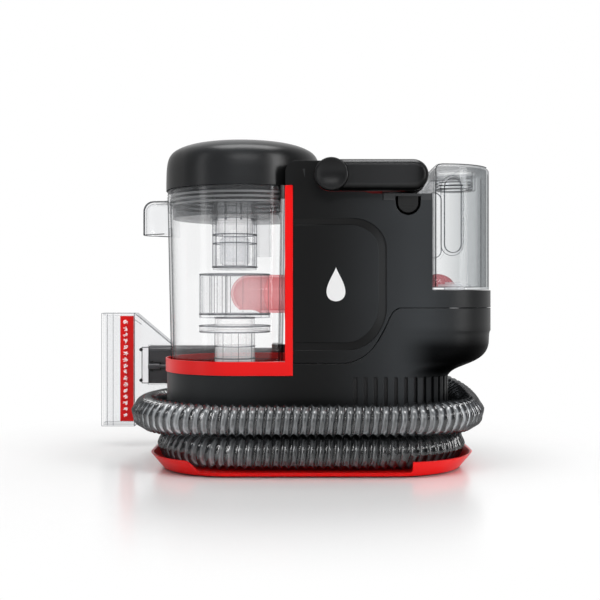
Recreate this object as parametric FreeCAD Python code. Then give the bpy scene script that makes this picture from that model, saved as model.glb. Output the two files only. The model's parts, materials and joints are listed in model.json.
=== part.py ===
import FreeCAD, Part
import math
import os
from FreeCAD import Vector as Vec

os.makedirs("parts", exist_ok=True)

# Portable spot extractor: recovery tank at -X, clean-water tank at +X, hand tool on the +Y
# side, +Z up, hose wound twice round the base. Millimetres, in the machine's centre-plane frame.
SHIFT = Vec(13.75, -1.60, 0.0)     # moves the origin under the centre of the overall box
HALF_W = 70.0                      # half width of the housings
SHELL = 3.0                        # housing wall
INNER_W = HALF_W-SHELL
FOOT_XY = [(x, y) for x in (-88, 108) for y in (-58, 58)]
DECK_X0, END_X = -12.5, 170.5      # ends of the upper housing
SEAM_X, SEAM_R = 132.0, 46.0       # +X end and corner radius of the lower housing
WALL = 2.5                         # wall of both tanks
TANK_CX, TANK_R = -52.0, 69.0      # recovery tank axis and radius at its rim
TANK_BACK = -14.0                  # its flat +X wall at the rim
TANK_BASE_R, TANK_BASE_BACK = 65.6, -16.6
TANK_CORNER = 6.0
TANK_Z0, TANK_Z1 = 86.0, 245.0
TANK_FLOOR = TANK_Z0+3.05
SEP_X, DROP_X = -60.0, -33.0       # separator and air drop tube axes
INLET_Z = 152.0
SUCTION_X = 3.0                    # suction opening under the lid
LID_R, LID_Z0, LID_TOP = 70.4, 245.3, 289.4
SKIRT_R = TANK_R-WALL-1.6
SKIRT_BACK = TANK_BACK-WALL-1.6
SEAL_LEVELS = (231.0, 235.0, 239.0)
CT_X0, CT_X1, CT_Z0, CT_Z1 = 115.5, 169.5, 155.6, 264.0   # clean-water tank
VALVE_X = 142.0                    # axis of its fill cap and valve
BUTTON_X, BUTTON_Z = 91.8, 229.4   # centre of the release buttons' round lower end
PIVOT_X, PIVOT_Z = 26.0, 251.7     # carry handle pivot
GRIP_X, ARM_R = 94.7, 13.0
MOTOR_X, PUMP_Z = 50.0, 118.0
PORT_X = 8.0                       # hose port in the plinth
HOSE_R, HOSE_BORE = 14.0, 11.8
WRAP1_Y, WRAP1_R, WRAP1_Z = 82.0, 65.0, 19.2   # straights, corner radius and height of lap 1
WRAP2_Y, WRAP2_R, WRAP2_Z = 88.0, 72.0, 46.6
HOSE_STEP = 9.0                    # spacing of path points and of pipe sections
TOOL_Y, CUFF_Z, BORE_Z = 90.0, 80.6, 81.6
TRIGGER_X, TRIGGER_Z = -66.0, 71.0


# ---------------------------------------------------------------- helpers
def box(x0, x1, y0, y1, z0, z1):
    return Part.makeBox(x1-x0, y1-y0, z1-z0, Vec(x0, y0, z0))


def cyl(x, y, z0, z1, radius):
    return Part.makeCylinder(radius, z1-z0, Vec(x, y, z0))


def cyl_x(x0, x1, y, z, radius):
    return Part.makeCylinder(radius, x1-x0, Vec(x0, y, z), Vec(1, 0, 0))


def cyl_y(x, y0, y1, z, radius):
    return Part.makeCylinder(radius, y1-y0, Vec(x, y0, z), Vec(0, 1, 0))


def ring(x, y, z0, z1, radius, bore):
    return cyl(x, y, z0, z1, radius).cut(cyl(x, y, z0-1, z1+1, bore))


def span(side, near, far):
    """Y range from near to far on the given side (-1 or 1), in rising order."""
    return sorted((side*near, side*far))


def polar(cx, cy, radius, degrees, z):
    angle = math.radians(degrees)
    return Vec(cx+radius*math.cos(angle), cy+radius*math.sin(angle), z)


def wire(edges):
    return Part.Wire(Part.__sortEdges__(edges))


def spline(points):
    curve = Part.BSplineCurve()
    curve.interpolate(points)
    return curve


def rounded_wire(x0, x1, y0, y1, z, rad0, rad1):
    """Rectangle with corners of rad0 at x0 and rad1 at x1."""
    corners = ((x1-rad1, y1-rad1, rad1), (x0+rad0, y1-rad0, rad0),
               (x0+rad0, y0+rad0, rad0), (x1-rad1, y0+rad1, rad1))
    arcs = [[polar(cx, cy, radius, 90*i+turn, z) for turn in (0, 45, 90)]
            for i, (cx, cy, radius) in enumerate(corners)]
    edges = []
    for i, arc in enumerate(arcs):
        edges.append(Part.Arc(*arc).toShape())
        following = arcs[(i+1) % 4][0]
        if arc[2].distanceToPoint(following) > 1e-6:
            edges.append(Part.makeLine(arc[2], following))
    return wire(edges)


def rounded(x0, x1, y0, y1, z0, z1, rad0, rad1=None):
    outline = rounded_wire(x0, x1, y0, y1, z0, rad0, rad0 if rad1 is None else rad1)
    return Part.Face(outline).extrude(Vec(0, 0, z1-z0))


def rounded_loft(lower, upper):
    return Part.makeLoft([rounded_wire(*lower), rounded_wire(*upper)], True, True)


def profile(points, y0, y1):
    """X, Z outline extruded across Y. A nested list is a spline from the point before it."""
    first = last = Vec(points[0][0], y0, points[0][1])
    edges = []
    for item in points[1:]:
        if isinstance(item, list):
            through = [last]+[Vec(x, y0, z) for x, z in item]
            edges.append(spline(through).toShape())
            last = through[-1]
        else:
            corner = Vec(item[0], y0, item[1])
            edges.append(Part.makeLine(last, corner))
            last = corner
    if last.distanceToPoint(first) > 1e-6:
        edges.append(Part.makeLine(last, first))
    return Part.Face(wire(edges)).extrude(Vec(0, y1-y0, 0))


def fillet(shape, radius, pick):
    edges = [edge for edge in shape.Edges if pick(edge)]
    # Where the kernel cannot roll the fillet, the edges stay sharp.
    try:
        result = shape.makeFillet(radius, edges)
        return result if result.isValid() else shape
    except Exception:
        return shape


def upright(edge):
    bounds = edge.BoundBox
    return bounds.ZLength > 1 and bounds.XLength < 0.01 and bounds.YLength < 0.01


def long_x(edge):
    return edge.BoundBox.XLength > 60


def flat_at(z):
    return lambda edge: edge.BoundBox.ZLength < 0.01 and abs(edge.BoundBox.ZMin-z) < 0.01


def tank_wire(radius, back, z):
    """Circle on the tank axis cut off flat at x = back, with rounded corners there."""
    corner_x = back-TANK_CORNER
    corner_y = math.sqrt((radius-TANK_CORNER)**2-(corner_x-TANK_CX)**2)
    angle = math.degrees(math.atan2(corner_y, corner_x-TANK_CX))
    start = polar(TANK_CX, 0, radius, angle, z)
    middle = polar(corner_x, corner_y, TANK_CORNER, angle/2, z)
    end = Vec(back, corner_y, z)
    start_m, middle_m, end_m = [Vec(p.x, -p.y, p.z) for p in (start, middle, end)]
    return Part.Wire([Part.Arc(start, Vec(TANK_CX-radius, 0, z), start_m).toShape(),
                      Part.Arc(start_m, middle_m, end_m).toShape(),
                      Part.makeLine(end_m, end),
                      Part.Arc(end, middle, start).toShape()])


def tank_prism(radius, back, z0, z1):
    return Part.Face(tank_wire(radius, back, z0)).extrude(Vec(0, 0, z1-z0))


def tank_loft(rad0, back0, z0, rad1, back1, z1):
    return Part.makeLoft([tank_wire(rad0, back0, z0), tank_wire(rad1, back1, z1)], True, True)


def pipe(points, radius, bore):
    """Tube lofted through circles whose frame is carried along the path without twist."""
    curve = spline([Vec(*point) for point in points])
    length = curve.length()
    count = max(4, int(length/HOSE_STEP))
    params = [curve.parameterAtDistance(length*i/count, curve.FirstParameter)
              for i in range(count+1)]
    start = curve.tangent(params[0])[0]
    side = (Vec(0, 0, 1) if abs(start.z) < 0.9 else Vec(0, 1, 0)).cross(start)
    frames = []
    for param in params:
        along = curve.tangent(param)[0]
        up = along.cross(side)
        up.normalize()
        side = up.cross(along)
        side.normalize()
        at = curve.value(param)
        frames.append(FreeCAD.Matrix(side.x, up.x, along.x, at.x, side.y, up.y, along.y, at.y,
                                     side.z, up.z, along.z, at.z, 0, 0, 0, 1))

    def solid(circle_radius):
        sections = []
        for frame in frames:
            circle = Part.makeCircle(circle_radius)
            circle.transformShape(frame)
            sections.append(Part.Wire(circle))
        return Part.makeLoft(sections, True, True)
    return solid(radius).cut(solid(bore))


def union(shape, *others):
    for other in others:
        shape = shape.fuse(other)
    return shape.removeSplitter()


def placed(shape, degrees, x, y=0):
    """Turns the shape about the Z axis, then moves it to x, y."""
    shape.rotate(Vec(0, 0, 0), Vec(0, 0, 1), degrees)
    shape.translate(Vec(x, y, 0))
    return shape


def save(name, *shapes):
    solids = []
    for shape in shapes:
        moved = shape.copy()
        moved.translate(SHIFT)
        solids += moved.Solids
    piece = solids[0] if len(solids) == 1 else Part.makeCompound(solids)
    piece.exportStep("parts/%s.step" % name)


# ---------------------------------------------------------------- base tray and feet
def base_tray():
    tray = rounded_loft((-121, 142, -92.4, 92.4, 1.0, 62, 66),
                        (-131.6, 152.7, -97, 97, 13.2, 68, 72))
    tray = tray.cut(rounded_loft((-121.5, 142.5, -90.8, 90.8, 4.0, 62, 66),
                                 (-129.6, 150.7, -95, 95, 13.4, 66, 70)))
    # gap in the -Y rim
    tray = tray.cut(profile([(-99, 14.0), [(-93, 12.6), (-88.5, 8.5), (-83, 4.0)], (90.5, 4.0),
                             [(92.2, 4.6), (93, 6.8)], (93, 14.0)], -105, -40))
    return tray.cut(Part.makeCompound([cyl(x, y, 1, 3.0, 9.2) for x, y in FOOT_XY]))


save("base_tray", base_tray())
save("rubber_feet", *[cyl(x, y, 0, 3.0, 9.0) for x, y in FOOT_XY])


# ---------------------------------------------------------------- lower housing
# x of the +X end and height z, up the flared part below the clean-water tank
FLARE = ((131.6, 79.6), (141.9, 87.2), (152.7, 91.4), (162.6, 97.2), (168.4, 107.0),
         (END_X, 120.0))


def lower_form(inset):
    """Outer form of the lower housing, moved inwards by inset."""
    y = HALF_W-inset
    end, corner = SEAM_X-inset, SEAM_R-inset
    main = rounded(-121.5+inset, end, -y, y, 34+inset, 82-inset, y-0.6, corner)
    deck = rounded(-60, end, -y, y, 60, 92.5, 5, corner)
    deck = deck.common(box(DECK_X0+inset, 200, -80, 80, 50, 93))
    sections = []
    for x, z in FLARE:
        rise = inset if z < 100 else inset*.4 if z < 115 else 0
        sections.append(rounded_wire(-60, x-inset, -y, y, z+rise, 5, corner+4*(z-79.6)/40.4))
    flare = Part.makeLoft(sections, True, False)
    flare = flare.fuse(rounded(-60, END_X-inset, -y, y, 120.0, 141.0, 5, 50-inset))
    side = profile([(39, 75), (39, 92.5),
                    [(50, 96-inset), (60+inset*.5, 103.5-inset*.8),
                     (67.6+inset, 113.5-inset*.4), (75+inset, 128), (79+inset, 135.5),
                     (85.6+inset, 139.5)],
                    (172, 139.5), (172, 75)], -y, y)
    return union(main, deck, flare.common(side))


def cooling_slots():
    """Twelve round-topped slots per side, along the straight and round the +X corner."""
    pitch, first_x, bend_x, top = 8.6, 47.0, SEAM_X-SEAM_R, 79.5
    straight = bend_x-first_x
    slots = []
    for i in range(12):
        distance = pitch*i
        for side in (-1, 1):
            if distance <= straight:
                x, y, angle = first_x+distance, HALF_W, 0.0
            else:
                angle = (distance-straight)/SEAM_R
                x = bend_x+SEAM_R*math.sin(angle)
                y = HALF_W-SEAM_R+SEAM_R*math.cos(angle)
            slot = box(-1.6, 1.6, -5, 5, 56, top).fuse(cyl_y(0, -5, 5, top, 1.6))
            slots.append(placed(slot, -side*math.degrees(angle), x, y*side))
    return Part.makeCompound(slots)


def lower_housing():
    body = lower_form(0).cut(lower_form(SHELL))
    body = body.cut(box(-9.5, 129, -INNER_W, INNER_W, 88, 92.6).common(
        rounded(-60, 129, -INNER_W, INNER_W, 80, 100, 5, 43)))
    body = body.cut(rounded(60, 167.5, -INNER_W, INNER_W, 135, 150, 5, 47).common(
        box(88.6, 200, -80, 80, 134, 150)))
    plinth = rounded(-98, 117, -65, 65, 5.0, 34.5, 60).cut(
        rounded(-95, 114, -62, 62, 8.0, 40, 57))
    body = union(body.cut(rounded(-95, 114, -62, 62, 30, 37.5, 57)), plinth)
    body = body.cut(cooling_slots())
    body = body.cut(cyl_y(PORT_X, 58, 72, WRAP1_Z, 9.0))
    return body.cut(box(39, 100, -62, 62, 88, 140))


save("lower_housing", lower_housing())
# band just inside the cooling slots
save("vent_filter", rounded(-60, 128.6, -66.6, 66.6, 52, 81.6, 5, 42.6)
     .cut(rounded(-60, 126.0, -64.0, 64.0, 50, 90, 5, 40))
     .common(box(44, 130, -70, 70, 50, 90)))


# ---------------------------------------------------------------- upper housing
def upper_form(inset):
    """Outer form of the upper housing, moved inwards by inset."""
    y = HALF_W-inset
    end = END_X-inset
    side = profile([
        (DECK_X0+inset, 93+inset), (39, 93+inset),
        [(50-inset*.4, 96.6+inset), (60-inset*.6, 104+inset*.8), (67.0-inset, 114+inset*.3),
         (74.4-inset, 128.4), (78.4-inset*.9, 136+inset*.4), (84.4-inset*.5, 140+inset)],
        (end, 140+inset), (end, 155-inset), (112.5-inset, 155-inset),
        (112.5-inset, 237-inset), (62-inset, 237-inset),
        [(52, 240-inset), (43, 247-inset), (37, 257-inset), (30, 265-inset)],
        (-4-inset*.3, 265-inset),
        [(-8.4+inset*.4, 263.4-inset*.8), (-11.4+inset*.8, 260-inset*.5),
         (DECK_X0+inset, 256-inset)]], -y, y)
    return side.common(rounded(-60, end, -y, y, 80, 300, 5, 50-inset))


def panel_groove():
    """Groove left round the raised side panel, centred on y = 0."""
    outer = profile([(-5, 216), (45, 216), [(59, 212.6), (69, 204), (73.5, 190)], (73.5, 136.5),
                     [(70.5, 126), (63, 114), (53.5, 106.8), (40, 104)], (-5, 104)], -1.1, 1.1)
    panel = profile([(-6, 210.5), (42, 210.5), [(54.5, 207.5), (63.5, 200), (67, 188)],
                     (67, 139), [(64.5, 130), (57.5, 119), (50, 113.2), (38, 110.5)],
                     (-6, 110.5)], -1.3, 1.3)
    return outer.cut(panel)


def button_form(half_depth, radius, top):
    """Tab with a round lower end, centred on y = 0."""
    return union(box(BUTTON_X-radius, BUTTON_X+radius, -half_depth, half_depth, BUTTON_Z, top),
                 cyl_y(BUTTON_X, -half_depth, half_depth, BUTTON_Z, radius))


def upper_housing():
    body = upper_form(0).cut(upper_form(SHELL))
    body = body.cut(box(-9.4, 36, -INNER_W, INNER_W, 92, 97))
    body = body.cut(box(-9.4, 104, -62, 62, 92, 146))
    body = body.cut(rounded(60, 167.5, -INNER_W, INNER_W, 139, 143.5, 5, 47).common(
        box(88, 200, -80, 80, 138, 145)))
    # seat for the round lid
    well = cyl(TANK_CX, 0, 240, 270, 75.0).common(upper_form(0.5))
    body = union(body, well).cut(cyl(TANK_CX, 0, 243.2, 300, 72.0))
    body = body.cut(cyl(SUCTION_X, 0, 230, 250, 10.0))
    body = body.cut(cyl_x(-20, 0, 0, INLET_Z, 19.0))
    # the -X edge is set back behind the trim strips
    for side in (-1, 1):
        body = body.cut(box(-13, -6, *span(side, 66.0, 71.0), 92.9, 244.2))
    for side in (-1, 1):
        body = body.cut(placed(panel_groove(), 0, 0, side*HALF_W))
        body = body.cut(box(70, 113, *span(side, 69, 71), 231.6, 238))
        body = body.cut(placed(button_form(4.9, 10.6, 240), 0, 0, side*68.5))
        body = body.cut(cyl_y(PIVOT_X, *span(side, 60, 72), PIVOT_Z, 5.02))
    body = body.cut(rounded(46.5, 69.5, -14.5, 14.5, 230, 250, 6))   # switch opening
    body = body.cut(box(112, 118, -12, 12, 143, 151))
    return body.cut(cyl(VALVE_X, 0, 150, 160, 11.0))


save("upper_housing", upper_housing())


# ---------------------------------------------------------------- red trim
def tank_bezel():
    """Band below the recovery tank with a strip up each side."""
    trim = rounded(-122.8, -6.1, -70.6, 70.6, 82.2, 94.0, 70.4, 0.5)
    trim = trim.cut(tank_prism(69.8, -12.4, 80, 96)).cut(box(-12.8, 0, -66.1, 66.1, 80, 96))
    for side in (-1, 1):
        trim = trim.fuse(box(-12.8, -6.1, *span(side, 66.2, 70.6), 82.2, 244.0))
    trim = trim.cut(box(-12.4, -5, -66.1, 66.1, 92.4, 96)).removeSplitter()
    trim = trim.cut(box(-12.5, -5, -66.0, 66.0, 82.0, 96))
    return trim.cut(box(-12.6, -5.0, -70.05, 70.05, 82.0, 92.9))


save("tank_bezel", tank_bezel())


# ---------------------------------------------------------------- recovery tank
def recovery_tank():
    outer = tank_loft(TANK_BASE_R, TANK_BASE_BACK, TANK_Z0, TANK_R, TANK_BACK, TANK_Z1)
    inner = tank_loft(TANK_BASE_R-WALL+.1, TANK_BASE_BACK-WALL, TANK_Z0+3,
                      TANK_R-WALL, TANK_BACK-WALL, TANK_Z1+.01)
    tank = fillet(outer, 4.0, flat_at(TANK_Z0)).cut(inner)
    tank = tank.cut(cyl_x(-25, 0, 0, INLET_Z, 17.7))
    return tank.cut(box(-125, -110, -7, 7, 212, 226))   # opening under the spout


def hood_form(inset, z0, z1, radius):
    """Rounded triangular hood, moved inwards by inset."""
    tip_x, tip_y, root_y = -132+inset*.3, 12.6-inset*.8, 51-inset*1.2
    tip_left, tip_right = Vec(tip_x, -tip_y, z0), Vec(tip_x, tip_y, z0)
    root_right, root_left = Vec(-90, root_y, z0), Vec(-90, -root_y, z0)
    outline = wire([Part.Arc(tip_left, Vec(-143.6+inset, 0, z0), tip_right).toShape(),
                    Part.makeLine(tip_right, root_right),
                    Part.makeLine(root_right, root_left),
                    Part.makeLine(root_left, tip_left)])
    hood = Part.Face(outline).extrude(Vec(0, 0, z1-z0))
    on_top = flat_at(z1)
    return fillet(hood, radius, lambda edge: on_top(edge) and edge.BoundBox.XMin < -95)


def pour_spout():
    """Hood open below, cut to the tapered tank wall with a small gap."""
    gap, taper, height = .15, .0214, 60
    hood = hood_form(0, 205.4, 236.6, 9.0).cut(hood_form(2.2, 200, 234.4, 7.4))
    return hood.cut(tank_loft(TANK_R+gap-taper*height, TANK_BACK, TANK_Z1-height,
                              TANK_R+gap, TANK_BACK, TANK_Z1))


def separator_cup():
    cup = ring(SEP_X, 0, 130.05, 133.0, 32.5, 10.0)
    cup = cup.fuse(ring(SEP_X, 0, 133.0, 170.0, 32.5, 30.5)).removeSplitter()
    return cup.cut(cyl_x(SEP_X, 0, 0, INLET_Z, 17.9))


def inlet_duct():
    """Tube from the flat tank wall to a ball end opening down into the separator cup."""
    end_x, radius, bore = -46, 17.5, 15.3
    end = Vec(end_x, 0, INLET_Z)
    duct = cyl_x(end_x, -14.1, 0, INLET_Z, radius).cut(cyl_x(-54, -5, 0, INLET_Z, bore))
    ball = Part.makeSphere(radius, end).cut(Part.makeSphere(bore, end))
    duct = duct.fuse(ball.common(box(-90, end_x, -30, 30, 120, 180))).removeSplitter()
    return duct.cut(cyl(end_x, 0, 120, 150, 9.5))


def float_cage():
    cage = ring(SEP_X, 0, 176.0, 238.0, 20.0, 18.0)
    cage = cage.fuse(ring(SEP_X, 0, 174.0, 176.0, 20.0, 6.0))
    cage = cage.fuse(ring(SEP_X, 0, 216, 218, 22.5, 18.0)).cut(cyl(DROP_X, 0, 210, 225, 6.6))
    for k in range(6):
        cage = cage.cut(placed(box(14, 24, -3.0, 3.0, 184, 210), 60*k+30, SEP_X))
    return cage.removeSplitter()


save("recovery_tank", recovery_tank())
save("pour_spout", pour_spout())
save("separator_post", union(ring(SEP_X, 0, TANK_FLOOR, 120.0, 18.4, 16.4),
                             ring(SEP_X, 0, 123.0, 130.0, 18.4, 16.4),
                             ring(SEP_X, 0, 120.0, 123.0, 32.5, 16.4),
                             ring(SEP_X, 0, 117, 123.0, 32.5, 30.5)))
save("separator_cup", separator_cup())
save("inlet_duct", inlet_duct())
save("float_cage", float_cage())
save("float_ball", fillet(cyl(SEP_X, 0, 178, 204, 13.5), 4.0, lambda edge: True)
     .cut(cyl(SEP_X, 0, 182, 200, 10.5)))
save("air_drop_tube", ring(DROP_X, 0, 186, 219.8, 6.5, 5.2))
save("inlet_seal", cyl_x(-13.9, -12.7, 0, INLET_Z, 24.0)
     .cut(cyl_x(-16, -8, 0, INLET_Z, 17.9)))

# ---------------------------------------------------------------- lid with its skirt
# radius and drop below the lid top, from the centre out to the rim
LID_PROFILE = ((0, 0), (25, .5), (45, 2.6), (55, 5.0), (61, 7.6), (65, 10.4), (67.7, 14.2),
               (69.4, 20), (70.2, 29), (LID_R, 37))


def dome(inset, z0):
    points = [Vec(max(x-inset, 0), 0, LID_TOP-drop-inset) for x, drop in LID_PROFILE]
    rim, centre = Vec(points[-1].x, 0, z0), Vec(0, 0, z0)
    outline = wire([spline(points).toShape(), Part.makeLine(points[-1], rim),
                    Part.makeLine(rim, centre), Part.makeLine(centre, points[0])])
    solid = Part.Face(outline).revolve(Vec(0, 0, 0), Vec(0, 0, 1), 360)
    return placed(solid, 0, TANK_CX)


def tank_lid():
    lid = dome(0, LID_Z0).cut(dome(2.6, 240))
    lid = lid.fuse(cyl(TANK_CX, 0, LID_Z0, 247.8, LID_R-.5)).removeSplitter()
    # the opening over the float cage keeps a hair-thin core on its axis
    return lid.cut(ring(SEP_X, 0, 240, 250, 14.0, 0.01)).cut(cyl(SUCTION_X, 0, 240, 250, 9.0))


def skirt_band(radius, back, depth, z, clearance):
    """Band round the skirt reaching depth into it, for a groove or the seal in it."""
    outer = tank_prism(radius, back, z+clearance, z+1.8-clearance)
    return outer.cut(tank_prism(SKIRT_R-depth, SKIRT_BACK-depth, z-1, z+3))


def lid_skirt():
    skirt = tank_loft(SKIRT_R-.6, SKIRT_BACK-.6, 220.0, SKIRT_R, SKIRT_BACK, 245.2)
    skirt = skirt.cut(tank_prism(SKIRT_R-3.2, SKIRT_BACK-3.0, 222.6, 250))
    skirt = skirt.cut(cyl(SEP_X, 0, 210, 250, 20.3)).cut(cyl(DROP_X, 0, 210, 250, 5.2))
    for z in SEAL_LEVELS:
        skirt = skirt.cut(skirt_band(SKIRT_R+2, TANK_BACK+2, 1.8, z, 0))
    return skirt


save("tank_lid", tank_lid())
save("lid_skirt", lid_skirt())
save("lid_seals", *[skirt_band(SKIRT_R+1.2, SKIRT_BACK+1.1, 1.7, z, .05) for z in SEAL_LEVELS])
save("lid_outlet_seal", ring(SUCTION_X, 0, 243.4, 245.2, 14, 9.2))


# ---------------------------------------------------------------- clean-water tank
def clean_form(inset, z0, z1):
    return rounded(CT_X0+inset, CT_X1-inset, -62+inset, 62-inset, z0, z1, 6-inset*.8, 44-inset)


def side_groove(y0, y1, grow):
    """Upright round-ended groove in a side wall, widened by grow."""
    x, z0, z1, half = 131.3, 194.5, 244, 7.3+grow
    return union(box(x-half, x+half, y0, y1, z0, z1),
                 cyl_y(x, y0, y1, z0, half), cyl_y(x, y0, y1, z1, half))


def clean_tank():
    outer = fillet(clean_form(0, CT_Z0, CT_Z1), 4.5, flat_at(CT_Z1))
    inner = clean_form(WALL, CT_Z0+WALL, CT_Z1-WALL)
    for side in (-1, 1):
        inner = inner.cut(side_groove(*span(side, 55.0, 70), WALL))
    tank = outer.cut(inner)
    for side in (-1, 1):
        tank = tank.cut(side_groove(*span(side, 57.5, 70), 0))
    tank = tank.fuse(ring(VALVE_X, 0, 246.5, CT_Z1-WALL, 19.0, 16.6))
    tank = tank.cut(cyl(VALVE_X, 0, CT_Z1-WALL-1, CT_Z1+5, 16.6))
    return tank.cut(cyl(VALVE_X, 0, 150, 160, 9.6)).removeSplitter()


def fill_cap():
    """Knurled cap with a cross-shaped slot in its top."""
    cap = union(cyl(VALVE_X, 0, 260.0, 264.6, 16.3), ring(VALVE_X, 0, 248, 260.0, 16.0, 13.6))
    for k in range(18):
        notch = polar(VALVE_X, 0, 16.6, 20*k, 0)
        cap = cap.cut(cyl(notch.x, notch.y, 261.9, 266, 1.0))
    cross = box(VALVE_X-12, VALVE_X+12, -1.6, 1.6, 262.6, 266)
    return cap.cut(cross.fuse(box(VALVE_X-1.6, VALVE_X+1.6, -12, 12, 262.6, 266)))


save("clean_tank", clean_tank())
save("clean_tank_lip", fillet(box(109.6, 115.4, -28, 28, 239, 261), 3.0, upright)
     .fuse(box(109.2, 115.4, -29, 29, 250, 252)).removeSplitter())
save("fill_cap", fill_cap())
save("fill_cap_seal", ring(VALVE_X, 0, 246.6, 247.9, 16.2, 13.0))
save("tank_valve_body", union(ring(VALVE_X, 0, 158.2, 160.6, 15.0, 6.2),
                              ring(VALVE_X, 0, 152.6, 158.2, 9.4, 6.2)))
save("tank_valve_stem", union(cyl(VALVE_X, 0, 152.8, 163, 2.6),
                              ring(VALVE_X, 0, 160.8, 162.6, 8.6, 1.0)))
save("tank_filter_dome", Part.makeSphere(19.0, Vec(131.0, 34, 152.0))
     .common(box(118.4, 160, 0, 56, 158.4, 180)))
for side, place in ((-1, "near"), (1, "far")):
    button = button_form(1.6, 10.1, 236.8).common(box(70, 110, -5, 5, 200, 236.8))
    save("release_button_"+place, placed(button, 0, 0, side*68.2))


# ---------------------------------------------------------------- carry handle
def arm(y0, y1, end_x=GRIP_X):
    return union(cyl_y(PIVOT_X, y0, y1, PIVOT_Z, ARM_R),
                 box(PIVOT_X, end_x, y0, y1, PIVOT_Z-ARM_R, PIVOT_Z+ARM_R),
                 cyl_y(end_x, y0, y1, PIVOT_Z, ARM_R))


def on_outer_face(edge):
    bounds = edge.BoundBox
    return abs(abs(bounds.Center.y)-86) < 0.1 and bounds.YLength < 0.1


def carry_handle():
    handle = union(arm(-86, -73), arm(73, 86), cyl_y(GRIP_X, -80, 80, PIVOT_Z, ARM_R))
    handle = fillet(handle, 5.5, on_outer_face)
    for y0, y1, radius in ((-90, -81.5, 14.3), (81.5, 90, 14.3), (-90, 90, 5.0)):
        handle = handle.cut(cyl_y(PIVOT_X, y0, y1, PIVOT_Z, radius))
    return handle


def handle_liner(side):
    liner = arm(*span(side, 70.4, 72.9), 88).cut(cyl_y(PIVOT_X, -90, 90, PIVOT_Z, 5.2))
    return liner.cut(cyl_y(GRIP_X, -90, 90, PIVOT_Z, ARM_R+.2))


def pivot_cap(side):
    """Disc with a dished outer face."""
    face_y = side*88.2
    disc = fillet(cyl_y(PIVOT_X, *span(side, 81.6, 88.2), PIVOT_Z, 13.9), 1.0,
                  lambda edge: abs(edge.BoundBox.YMin-face_y) < .01
                  and edge.BoundBox.YLength < .01)
    return disc.cut(Part.makeSphere(34, Vec(PIVOT_X, side*(88.2+31.8), PIVOT_Z)))


def pivot_pin(side):
    return union(cyl_y(PIVOT_X, *span(side, 66.9, 81.4), PIVOT_Z, 4.95),
                 cyl_y(PIVOT_X, *span(side, 63.9, 66.9), PIVOT_Z, 8.0))


save("carry_handle", carry_handle())
save("handle_liners", *[handle_liner(side) for side in (-1, 1)])
save("handle_pivot_caps", *[pivot_cap(side) for side in (-1, 1)])
save("handle_pivot_pins", *[pivot_pin(side) for side in (-1, 1)])
save("handle_grip", cyl_y(GRIP_X, -56, 56, PIVOT_Z, ARM_R+1.2)
     .cut(cyl_y(GRIP_X, -60, 60, PIVOT_Z, ARM_R+.05)))

# ---------------------------------------------------------------- power switch
save("power_button", fillet(rounded(47, 69, -14, 14, 232.2, 239.0, 5.6), 1.2, flat_at(239.0)))
save("power_switch", rounded(48, 68, -9, 9, 214, 227.2, 1.5)
     .fuse(box(56, 60, -2, 2, 227.2, 229.8)))


# ---------------------------------------------------------------- motor, fan and pump
def motor_bracket():
    plate = box(14, 86, -36, 36, 93.4, 97.9).cut(cyl(MOTOR_X, 0, 90, 100, 12))
    legs = [cyl(x, y, 8.05, 93.4, 4.0) for x in (20, 80) for y in (-30, 30)]
    return plate.fuse(Part.makeCompound(legs)).removeSplitter()


def fan_impeller():
    fan = ring(MOTOR_X, 0, 165, 167, 34, 4.0).fuse(ring(MOTOR_X, 0, 167, 178, 8, 4.0))
    fan = fan.fuse(ring(MOTOR_X, 0, 176, 178, 34, 14))
    for k in range(9):
        blade = box(10, 33, -.8, .8, 166.5, 176.5)
        blade.rotate(Vec(10, 0, 0), Vec(0, 0, 1), 28)
        blade = placed(blade, 40*k, MOTOR_X)
        fan = fan.fuse(blade.common(cyl(MOTOR_X, 0, 160, 180, 33.5)))
    return fan.removeSplitter()


def fan_housing():
    housing = cyl(MOTOR_X, 0, 160.2, 182.5, 40)
    for z0, z1, radius in ((163, 180, 37.5), (150, 165, 6), (175, 190, 12)):
        housing = housing.cut(cyl(MOTOR_X, 0, z0, z1, radius))
    return housing.cut(box(MOTOR_X, MOTOR_X+50, 30, 60, 165, 178))


def suction_duct():
    duct = pipe([(SUCTION_X, 0, 239.8), (5, 0, 226), (22, 0, 206), (43, 0, 198),
                 (MOTOR_X, 0, 183)], 11.8, 10.0)
    duct = duct.cut(cyl(MOTOR_X, 0, 170, 182.7, 30))
    return duct.cut(cyl(SUCTION_X, 0, 239.7, 250, 30))


save("vacuum_motor", union(cyl(MOTOR_X, 0, 112, 160, 33), cyl(MOTOR_X, 0, 98, 112, 18))
     .cut(cyl(MOTOR_X, 0, 90, 170, 4.05)))
save("motor_mount_bush", ring(MOTOR_X, 0, 98.2, 111.8, 26, 18.1))
save("motor_bracket", motor_bracket())
save("motor_shaft", cyl(MOTOR_X, 0, 100, 178, 4.0))
save("fan_impeller", fan_impeller())
save("fan_housing", fan_housing())
save("suction_duct", suction_duct())
save("pump_body", union(cyl_x(96, 124, 0, PUMP_Z, 13), box(92, 96, -16, 16, 102, 134),
                        cyl_x(124, 132, 0, PUMP_Z, 6)).cut(cyl_x(90, 122, 0, PUMP_Z, 8.05)))
save("pump_plunger", cyl_x(97.5, 116, 0, PUMP_Z, 8.0))
save("pump_spring", cyl_x(117.2, 121.8, 0, PUMP_Z, 7.4).cut(cyl_x(115, 123, 0, PUMP_Z, 5.2)))
save("pump_feed_tube", pipe([(VALVE_X, 0, 151.6), (VALVE_X, 0, 142), (VALVE_X, 2, 130),
                             (VALVE_X, 6, 122)], 4.4, 2.9))
save("control_board", box(-4, -2, -40, 40, 100, 128))

# ---------------------------------------------------------------- hose
CORNER1_Y, CORNER2_Y = WRAP1_Y-WRAP1_R, WRAP2_Y-WRAP2_R
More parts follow.
